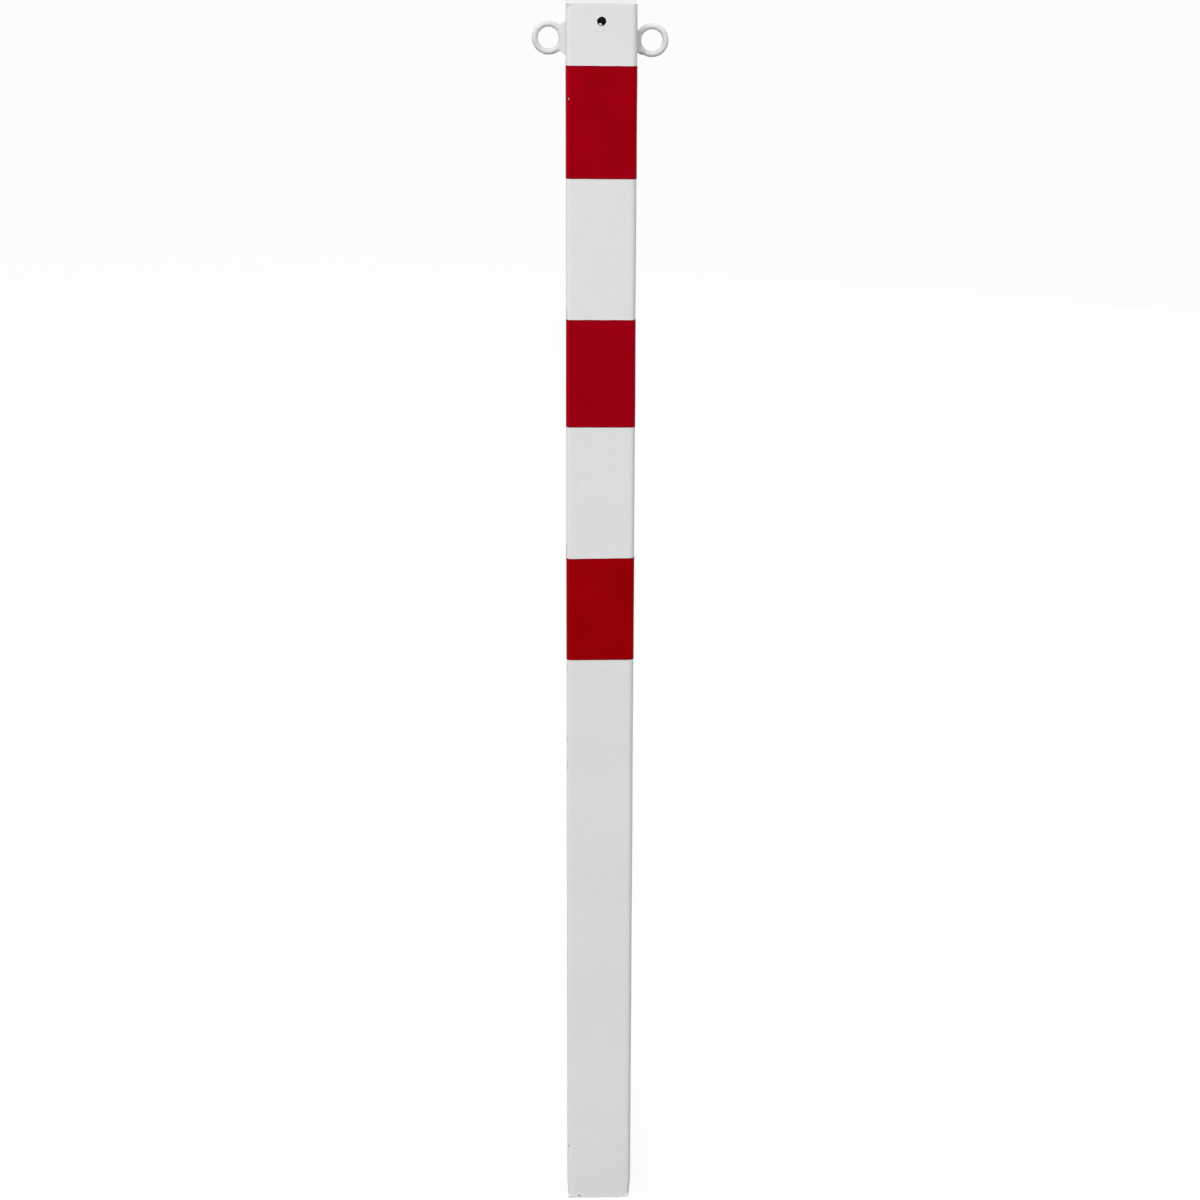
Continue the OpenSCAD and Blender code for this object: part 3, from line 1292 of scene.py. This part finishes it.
class WeldTree(TreeMaker):
    """A tree that fills the root between a ring and the tube's face with weld metal.

    The weld is worked out as a distance field and meshed where that field is zero, so it
    runs smoothly into the bar and the face, as a bead does under its coat.
    """

    SINK = 0.07 * MM
    DEEP = 0.6 * MM
    TIP_ROUND = 2.4 * MM
    GRAIN: float
    ROUGH: float
    ROOM: tuple[Triple, Triple]
    LIMITS: Triple

    def __init__(self, name: str) -> None:
        """Opens the tree and works out the distances to the ring and the face.

        Args:
            name: the tree's name.
        """
        super().__init__(name, {
            "Centre": tuple, "Ring Radius": float, "Bar Radius": float, "Side": float,
            "Face": float, "Min": tuple, "Max": tuple, "Cells X": int, "Cells Y": int,
            "Cells Z": int, "Material": bpy.types.Material})
        graph = self.graph
        self.place = graph.make("GeometryNodeInputPosition")
        x, self.y, z = graph.split(self.place)
        middle = graph.split(self.given("Centre"))
        side = self.given("Side")
        self.outward = x * side - self.given("Face")
        self.up = z - middle[2]
        self.hoop = self.hypot((x - middle[0]) * side, self.up) - self.given("Ring Radius")

    def hypot(self, a: Value, b: Value) -> Value:
        """The length of a flat vector with these two parts."""
        return self.graph.math("SQRT", a * a + b * b)

    def bar(self, squash: float) -> Value:
        """Distance to the ring's bar, which is made thinner along Y by squash."""
        return self.hypot(self.hoop, self.y * squash) - self.given("Bar Radius") + self.SINK

    def wedge(self, foot: float, tip: float, reach: float) -> Value:
        """Distance to a body that narrows from half width foot on the face to tip.

        Args:
            foot: its half width on the face.
            tip: its half width at its outer end.
            reach: how far out it goes.

        Returns:
            The distance.
        """
        slope = (foot - tip) / reach
        flank = (self.graph.math("ABSOLUTE", self.y) + self.outward * slope - foot) \
            * (1.0 / math.hypot(1.0, slope))
        return self.graph.math("SMOOTH_MAX", flank, self.outward - reach, self.TIP_ROUND)

    def within(self, body: Value) -> Value:
        """The part of a body that lies in a box on the face, its edge in the wall.

        Args:
            body: the distance to the body.

        Returns:
            The distance to that part.
        """
        graph = self.graph
        reach, wide, tall = self.LIMITS
        box = graph.math("MAXIMUM", self.outward - reach, -self.DEEP - self.outward)
        box = graph.math("MAXIMUM", box, graph.math("ABSOLUTE", self.y) - wide)
        box = graph.math("MAXIMUM", box, graph.math("ABSOLUTE", self.up) - tall)
        return graph.math("MAXIMUM", body, box)

    def fill(self, body: Value) -> None:
        """Roughens the body, keeps it in its box, meshes it and closes the tree.

        Args:
            body: the distance to the body.
        """
        graph = self.graph
        rough = graph.noise(self.place, self.GRAIN, 1.0) - 0.5
        body = self.within(body + rough * self.ROUGH)
        volume = graph.make("GeometryNodeVolumeCube", {
            "Density": body * -1.0, "Background": -1.0 * MM, "Min": self.given("Min"),
            "Max": self.given("Max"), "Resolution X": self.given("Cells X"),
            "Resolution Y": self.given("Cells Y"), "Resolution Z": self.given("Cells Z")})
        self.close(graph.make("GeometryNodeVolumeToMesh", {
            "Volume": volume, "Threshold": 0.0, "Adaptivity": 0.0}))


class FilletWeld(WeldTree):
    """The left eyelet's weld: wide and smooth, with a hollow above and below the ring."""

    FOOT = 7.0 * MM
    TIP = 2.6 * MM
    REACH = 7.4 * MM
    HOLLOW: Triple = (11.9 * MM, 27.7 * MM, 16.0 * MM)
    END_ROUND = 1.2 * MM
    BORE_ROUND = 1.0 * MM
    SQUASH = 1.1
    BAR_RUN = 3.2 * MM
    FACE_RUN = 1.8 * MM
    GRAIN = 260.0
    ROUGH = 0.35 * MM
    ROOM = ((-1.0 * MM, -10.5 * MM, -21.0 * MM), (11.0 * MM, 10.5 * MM, 21.0 * MM))
    LIMITS = (10.4 * MM, 9.8 * MM, 20.0 * MM)

    def __init__(self) -> None:
        """Builds the tree."""
        super().__init__("fillet_weld")
        graph = self.graph
        out, up, radius = self.HOLLOW
        ends = radius - self.hypot(self.outward - out, graph.math("ABSOLUTE", self.up) - up)
        fill = graph.math("SMOOTH_MAX", self.wedge(self.FOOT, self.TIP, self.REACH), ends,
                          self.END_ROUND)
        free = -1.0 * self.hoop - self.given("Bar Radius")
        fill = graph.math("SMOOTH_MAX", fill, free, self.BORE_ROUND)
        body = graph.math("SMOOTH_MIN", self.bar(self.SQUASH), fill, self.BAR_RUN)
        self.fill(graph.math("SMOOTH_MIN", body, self.outward + self.SINK, self.FACE_RUN))


class StripWeld(WeldTree):
    """The right eyelet's weld: a straight strip with square ends and a rippled run-out."""

    UP = 9.8 * MM
    DOWN = 12.1 * MM
    REACH = 4.7 * MM
    FOOT = 6.8 * MM
    TIP = 4.5 * MM
    ROUND = 0.9 * MM
    SQUASH = 1.15
    BAR_RUN = 1.6 * MM
    RIPPLE = 0.03 * MM
    RIPPLE_PITCH = 1.9 * MM
    RIPPLE_GRAIN = 200.0
    RIPPLE_STRAY = 5.0
    RUN_OUT: Triple = (5.3 * MM, 0.0, -10.2 * MM)
    RUN_OUT_R = 4.0 * MM
    RUN_OUT_RUN = 1.4 * MM
    STREAK = 0.09 * MM
    STREAK_PITCH = 1.5 * MM
    GRAIN = 380.0
    ROUGH = 0.20 * MM
    ROOM = ((-1.0 * MM, -8.6 * MM, -15.6 * MM), (9.0 * MM, 8.6 * MM, 12.0 * MM))
    LIMITS = (8.4 * MM, 8.0 * MM, 15.0 * MM)

    def __init__(self) -> None:
        """Builds the tree."""
        super().__init__("strip_weld")
        graph = self.graph
        ends = graph.math("ABSOLUTE", self.up + (self.DOWN - self.UP) / 2.0) \
            - (self.UP + self.DOWN) / 2.0
        strip = graph.math("SMOOTH_MAX", self.wedge(self.FOOT, self.TIP, self.REACH), ends,
                           self.ROUND)
        wave = graph.math("SINE", self.up * (2.0 * math.pi / self.RIPPLE_PITCH)
                          + graph.noise(self.place, self.RIPPLE_GRAIN, 1.0)
                          * self.RIPPLE_STRAY)
        strip = strip + wave * self.RIPPLE
        body = graph.math("SMOOTH_MIN", self.bar(self.SQUASH), strip, self.BAR_RUN)
        away = graph.vector("SUBTRACT", graph.join(self.outward, self.y, self.up),
                            self.RUN_OUT)
        streak = graph.math("SINE", (self.up + self.outward)
                            * (2.0 * math.pi / self.STREAK_PITCH))
        lump = graph.length(away) - self.RUN_OUT_R + streak * self.STREAK
        self.fill(graph.math("SMOOTH_MIN", body, lump, self.RUN_OUT_RUN))


# The red films


@dataclass
class FilmStrip:
    """One strip of film, wrapped once round the tube a little askew.

    The two slopes say how far its upper and lower edges rise for each metre run round
    the tube, and the two shifts how far they are from the CAD band's on the front. CUT is
    the section of a cut edge: distances from it in mm, and shares of the thickness.
    Each wave is a length and a seed, and SLANTS says how steeply the two swells slant.
    LAP_COLUMNS count the columns up to the rear face's middle, on the rise over the
    strip's own start, and on the lap beyond it. LAP_STEPS are places from that start: the
    last of the plain columns, the first and last of the rise, and the first of the lap.
    TORN says how far below the upper edge a crumpled corner starts and is fully crumpled.
    """

    EDGE = "edge_gap"
    CUT = ((0.0, 0.0), (0.0, 0.6), (0.12, 0.92), (0.35, 1.0), (0.8, 1.0))
    BACK_ROWS = 10
    LAP_COLUMNS = (5, 5, 10)
    LAP_STEPS = (-2.2 * MM, -2.0 * MM, 0.2 * MM, 1.0 * MM)
    WAVER_WAVES = ((0.05, 31), (0.06, 37))
    SWELL_WAVES = ((0.035, 41), (0.05, 43))
    SLANTS = (0.7, 0.4)
    CREASE_WAVE = (0.012, 47)
    TORN_WAVE = (0.0045, 53)
    TORN = (34 * MM, 8 * MM)

    form: PostForm
    node: str
    film: bpy.types.Material
    slope_top: float
    slope_low: float
    shift_top: float = 0.0
    shift_low: float = 0.0
    lap: float = 15.0 * MM
    lap_run: float = 1.8 * MM
    clear: float = 0.01 * MM
    waver: float = 0.08 * MM
    swell: float = 0.025 * MM
    creases: float = 0.05 * MM
    crumple: float = 0.0
    chips: tuple[Spot, ...] = ()
    flat_cells: int = 34
    corner_cells: int = 12
    margin: float = 1.4 * MM
    rows: int = 64
    chip_room: float = 3.0 * MM
    chip_rows: int = 16

    def around(self) -> np.ndarray:
        """Distances round the skin from one end of the strip to the other.

        Returns:
            The distances.
        """
        turn = 4.0 * self.form.quarter
        s = np.sort(np.mod(self.form.stations(self.flat_cells, self.corner_cells), turn))
        lapped = turn - self.lap / 2.0
        under, step, over = self.LAP_COLUMNS
        last, low, high, first = (lapped + place for place in self.LAP_STEPS)
        return np.concatenate([
            np.linspace(-self.lap / 2.0, 0.0, under, endpoint=False), s[s < last],
            np.linspace(low, high, step), np.linspace(first, turn + self.lap / 2.0, over)])

    def mesh(self) -> bpy.types.Mesh:
        """Builds the strip.

        Returns:
            The strip's mesh.
        """
        low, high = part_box(self.node)
        thick = -low.y - self.form.half
        s = self.around()
        turn = 4.0 * self.form.quarter
        from_front = s - turn / 2.0
        z_top = high.z + self.shift_top + self.slope_top * from_front
        z_low = low.z + self.shift_low + self.slope_low * from_front
        above, below = (self.waver * waves(s, *wave) for wave in self.WAVER_WAVES)
        z_top, z_low = z_top + above, z_low + below
        cut, lift = np.array(self.CUT).T
        cut = cut * MM
        tall = high.z - low.z
        inside = np.linspace(self.margin, tall - self.margin, self.rows)
        if self.chips:
            spot = self.chips[0].place[2] - low.z
            close = np.linspace(spot - self.chip_room, spot + self.chip_room, self.chip_rows)
            inside = np.sort(np.concatenate([inside, close]))
        run = np.concatenate([cut, inside, tall - cut[::-1]])
        rise_of = np.concatenate([lift, np.ones(len(inside)), lift[::-1]])
        back = np.linspace(tall, 0.0, self.BACK_ROWS)[1:-1]
        share = np.concatenate([run, back]) / tall
        rises = np.concatenate([rise_of, np.zeros(len(back))])
        z = z_low[:, None] * (1 - share) + z_top[:, None] * share
        lapped = turn - self.lap / 2.0
        over = thick * rise(s, lapped - self.lap_run, lapped)
        up = over[:, None] + rises[None, :] * (thick + self._relief(s[:, None], z, tall, low.z))
        shell = Shell()
        shell.loft(self.form.skin(s[:, None], z, up + self.clear), caps=True)
        gap = np.minimum(z - z_low[:, None], z_top[:, None] - z)
        return shell.mesh(self.node + "_film", [self.film], sharp=50.0,
                          marks={self.EDGE: np.maximum(gap, 0.0).ravel()})

    def _relief(self, s: np.ndarray, z: np.ndarray, tall: float, foot: float) -> np.ndarray:
        """How far the film stands off: faint swells, corner creases and chips.

        Args:
            s: distances round the skin.
            z: heights.
            tall: the strip's width.
            foot: the height of its lower edge.

        Returns:
            How far each point stands off.
        """
        quarter, flat = self.form.quarter, self.form.flat
        in_side = np.mod(s + flat / 2.0, quarter)
        bend = np.clip((in_side - flat) / (quarter - flat), 0.0, 1.0)
        corner = np.sin(bend * math.pi)
        (long, long_seed), (short, short_seed) = self.SWELL_WAVES
        swell = self.swell * (waves(z + self.SLANTS[0] * s, long, long_seed)
                              + waves(s - self.SLANTS[1] * z, short, short_seed))
        crease = self.creases * corner * waves(z, *self.CREASE_WAVE)
        near_top = rise(z - foot, *(tall - drop for drop in self.TORN))
        torn = self.crumple * corner * near_top * waves(z, *self.TORN_WAVE)
        relief = swell + crease + torn
        for chip in self.chips:
            base, normal = self.form.skeleton(s)
            x = base[..., 0] + normal[..., 0] * self.form.corner_r
            front = normal[..., 1] < 0
            gap = ((x - chip.place[0]) / chip.radii[0]) ** 2 \
                + ((z - chip.place[2]) / chip.radii[2]) ** 2
            relief = relief + chip.rise * np.exp(-gap) * front
        return relief


# The studio


@dataclass(frozen=True)
class PhotoCamera:
    """The photograph's camera, found by fitting the post's outline and band edges."""

    place: Triple = (-0.0379, -2.5313, 1.4268)
    pitch: float = 0.285
    yaw: float = 0.01508
    roll: float = 0.00247
    focal_px: float = 2504.2
    frame_px: float = 1200.0
    sensor_mm: float = 36.0
    clip: Pair = (0.05, 200.0)

    def build(self) -> None:
        """Makes the camera and gives it to the scene."""
        data = bpy.data.cameras.new("photo_camera")
        data.sensor_width = self.sensor_mm
        data.lens = self.sensor_mm * self.focal_px / self.frame_px
        data.clip_start, data.clip_end = self.clip
        ahead = Vector((math.sin(self.yaw) * math.cos(self.pitch),
                        math.cos(self.yaw) * math.cos(self.pitch), -math.sin(self.pitch)))
        level = Vector((math.cos(self.yaw), -math.sin(self.yaw), 0.0))
        above = level.cross(ahead)
        right = math.cos(self.roll) * level + math.sin(self.roll) * above
        up = -math.sin(self.roll) * level + math.cos(self.roll) * above
        camera = add_object("photo_camera", data)
        camera.matrix_world = Matrix((
            (right.x, up.x, -ahead.x, self.place[0]),
            (right.y, up.y, -ahead.y, self.place[1]),
            (right.z, up.z, -ahead.z, self.place[2]), (0.0, 0.0, 0.0, 1.0)))
        bpy.context.scene.camera = camera


@dataclass(frozen=True)
class Softbox:
    """A square lamp that faces a point on the post, as a light, a gleam or both.

    lights says whether it lights dull surfaces, and gleams whether glossy ones show it.
    """

    name: str
    place: Triple
    aim: Triple
    size: tuple[float, float]
    power: float
    lights: bool = True
    gleams: bool = True

    def build(self) -> None:
        """Makes the lamp."""
        data = bpy.data.lights.new(self.name, "AREA")
        data.shape = "RECTANGLE"
        data.size, data.size_y = self.size
        data.energy = self.power
        lamp = add_object(self.name, data)
        lamp.location = self.place
        lamp.visible_diffuse, lamp.visible_glossy = self.lights, self.gleams
        towards = Vector(self.aim) - Vector(self.place)
        lamp.rotation_euler = towards.to_track_quat("-Z", "Y").to_euler()


@dataclass(frozen=True)
class Studio:
    """Soft lamps, a plain pale floor and a white surround.

    The surround grows brighter between the two heights of zenith, and dimmer between the
    two places of back and of right, which are parts of the direction to it.
    """

    lamps: tuple[Softbox, ...] = (
        Softbox("key_box", (-1.65, -7.5, 4.2), (0.0, 0.0, 0.7), (3.4, 3.4), 326.0),
        Softbox("left_strip", (-2.1, -0.94, 1.0), (0.0, 0.0, 0.7), (0.18, 2.4), 6.0),
        Softbox("left_gleam", (-2.1, -0.94, 1.0), (0.0, 0.0, 0.7), (0.18, 2.4), 12.0,
                lights=False),
        Softbox("rear_box", (3.0, 5.2, 0.75), (0.0, 0.0, 0.7), (1.6, 1.3), 150.0,
                gleams=False),
    )
    tint: Triple = (1.0, 1.0, 1.0)
    surround: float = 0.92
    zenith: Pair = (0.5, 1.0)
    zenith_gain: float = 0.55
    back: Pair = (-0.3, 0.8)
    back_drop: float = 0.45
    right: Pair = (0.1, 0.9)
    right_drop: float = 0.3
    white: float = 1.0
    floor_size: float = 60.0
    floor_glow: float = 0.88
    floor_pale: Triple = (0.85, 0.85, 0.85)
    floor_bounce: Triple = (0.03, 0.03, 0.03)

    @staticmethod
    def start(owner: Union[bpy.types.World, bpy.types.Material]) -> Graph:
        """Empties the node tree of the surround or the floor.

        Args:
            owner: the world or the material.

        Returns:
            A graph for its empty tree.
        """
        owner.use_nodes = True
        owner.node_tree.nodes.clear()
        return Graph(owner.node_tree)

    @staticmethod
    def sort_rays(graph: Graph, lighting: Value, shown: Value) -> Value:
        """One shader for the rays that light the post and another for those that show it.

        Args:
            graph: the graph that asks.
            lighting: the shader that lights the post.
            shown: the shader that is seen.

        Returns:
            The mixed shader.
        """
        path = graph.node("ShaderNodeLightPath")
        seen = graph.math("MAXIMUM", graph.out(path, "Is Camera Ray"),
                          graph.out(path, "Is Glossy Ray"))
        seen = graph.math("MAXIMUM", seen, graph.out(path, "Is Transmission Ray"))
        return graph.make("ShaderNodeMixShader", {0: seen, 1: lighting, 2: shown})

    def world(self) -> None:
        """Makes the surround: white where it is seen, and where it lights the post dimmer
        behind and on the right."""
        world = bpy.data.worlds.new("surround")
        graph = self.start(world)
        right, back, up = graph.split(graph.make("ShaderNodeTexCoord", output="Generated"))
        level = graph.step(up, *self.zenith) * self.zenith_gain + self.surround \
            - graph.step(back, *self.back) * self.back_drop \
            - graph.step(right, *self.right) * self.right_drop
        dim, bright = (graph.make("ShaderNodeBackground", {
            "Color": rgba(self.tint), "Strength": strength}) for strength in (level, self.white))
        graph.node("ShaderNodeOutputWorld", {"Surface": self.sort_rays(graph, dim, bright)})
        bpy.context.scene.world = world

    def floor(self) -> None:
        """Makes the floor, which keeps the post's shadow."""
        half = self.floor_size / 2.0
        mesh = bpy.data.meshes.new("floor")
        mesh.from_pydata([(-half, -half, 0), (half, -half, 0), (half, half, 0),
                          (-half, half, 0)], [], [(0, 1, 2, 3)])
        material = bpy.data.materials.new("pale_floor")
        graph = self.start(material)
        lit, dull = (graph.make("ShaderNodeBsdfDiffuse", {"Color": rgba(colour)})
                     for colour in (self.floor_pale, self.floor_bounce))
        glow = graph.make("ShaderNodeEmission", {"Strength": self.white})
        pale = graph.make("ShaderNodeMixShader", {0: self.floor_glow, 1: lit, 2: glow})
        graph.node("ShaderNodeOutputMaterial", {"Surface": self.sort_rays(graph, dull, pale)})
        mesh.materials.append(material)
        floor = add_object("floor", mesh)

    def build(self) -> None:
        """Makes the whole studio."""
        for lamp in self.lamps:
            lamp.build()
        self.world()
        self.floor()
        bpy.context.scene.view_settings.view_transform = "Standard"


# The whole post


@dataclass
class BarrierPost:
    """The post with all its pieces."""

    form: PostForm = field(default_factory=PostForm)

    def coat(self) -> bpy.types.Material:
        """The white coat, with rub marks on the left edge, a mark of painted shade below the
        lid's unfilled corner, and spots of painted shade in the nick's dent and between and
        under the drips at the foot.

        Returns:
            The material.
        """
        scuffs_and_shade = (
            Spot.mm((-35.0, -31.5, 541.2), (1.3, 2.2, 6.5)),
            Spot.mm((-35.0, -31.5, 512.2), (1.2, 2.2, 14.5)),
            # Painted shade: a dark mark along the tube's top edge below the seam's unfilled
            # corner.
            Spot.mm((-33.0, -33.8, 1295.3), (1.9, 1.6, 0.5)),
        )
        # Spots of painted shade: in the nick's dent, and between and under drips at the foot.
        shade_spots = (
            Spot.mm((-33.5, -33.0, 63.3), (1.4, 2.4, 3.0)),
            Spot.mm((-22.0, -36.0, 2.8), (3.0, 2.0, 0.8)),
            Spot.mm((20.4, -36.0, 1.5), (1.4, 2.0, 1.2)),
            Spot.mm((-32.2, -35.6, 0.3), (2.0, 2.2, 0.9)),
        )
        return WhiteCoat("white_coat", scuffs_and_shade=scuffs_and_shade, shade_spots=shade_spots).material()

    def build_tube(self, coat: bpy.types.Material) -> None:
        """Builds the tube and the drips at its foot.

        Args:
            coat: the white coat.
        """
        zinc = BareZinc("zinc_inside").material()
        place_piece("post_tube_coated", Tube(self.form, coat, zinc).mesh(), WHITE_SLOT,
                    "post_tube")
        place_piece("foot_drips", FootDrips(self.form, coat).mesh(), WHITE_SLOT)

    def build_lid(self, coat: bpy.types.Material) -> None:
        """Builds the lid plate and its seam.

        Args:
            coat: the white coat.
        """
        lid = Lid(self.form, coat)
        place_piece("lid_plate", lid.plate(), WHITE_SLOT, "top_plate")
        place_piece("lid_seam_ground", lid.seam(), WHITE_SLOT, "lid_weld")

    def build_eyelets(self, coat: bpy.types.Material) -> None:
        """Builds both rings and their welds; the left ones take a darker, cooler copy of the
        coat, which paints shade onto them.

        Args:
            coat: the white coat.
        """
        rings = Eyelet.ring_tree()
        # Painted shade: a darker, bluer copy of the white coat for the left ring and its weld.
        left_shade_coat = WhiteCoat("white_coat_left_painted_shade", (0.668, 0.675, 0.688), (0.642, 0.652, 0.670))
        for side, maker, skin in ((Side.LEFT, FilletWeld(), left_shade_coat.material()),
                                  (Side.RIGHT, StripWeld(), coat)):
            eyelet = Eyelet(self.form, skin, side)
            place_piece(f"eyelet_{eyelet.label}_bar", eyelet.ring(rings), WHITE_SLOT,
                        f"eyelet_{eyelet.label}")
            place_piece(f"weld_{eyelet.label}_bead", eyelet.weld(maker, *maker.ROOM),
                        WHITE_SLOT, f"weld_{eyelet.label}")

    def build_films(self) -> None:
        """Builds the three red films."""
        chip = Spot.mm((-32.2, -34.5, 1207.7), (0.75, 1.5, 1.5), 0.12)
        top = RedFilm("red_film_top", chips=(chip,)).material()
        middle = RedFilm("red_film_middle", colour=(0.315, 0.0, 0.007),
                         deep=(0.285, 0.0, 0.005)).material()
        lower = RedFilm("red_film_lower", colour=(0.315, 0.0, 0.002),
                        deep=(0.280, 0.0, 0.001)).material()
        strips = (
            FilmStrip(self.form, "red_band_top", top, -0.0072, -0.0055,
                      0.04 * MM, 0.1 * MM, chips=(chip,)),
            FilmStrip(self.form, "red_band_middle", middle, -0.0015, -0.0012,
                      -0.7 * MM, -1.1 * MM, crumple=0.16 * MM),
            FilmStrip(self.form, "red_band_lower", lower, 0.0136, 0.0061,
                      0.5 * MM, 0.4 * MM),
        )
        for strip in strips:
            place_piece(strip.node + "_film", strip.mesh(), RED_SLOT, strip.node)

    def build(self) -> None:
        """Builds every piece."""
        coat = self.coat()
        self.build_tube(coat)
        self.build_lid(coat)
        self.build_eyelets(coat)
        self.build_films()


def main() -> None:
    """Builds the camera, the post and the studio."""
    logging.basicConfig(level=logging.INFO, format="%(name)s: %(message)s")
    PhotoCamera().build()
    BarrierPost().build()
    Studio().build()


if __name__ == "__main__":
    main()
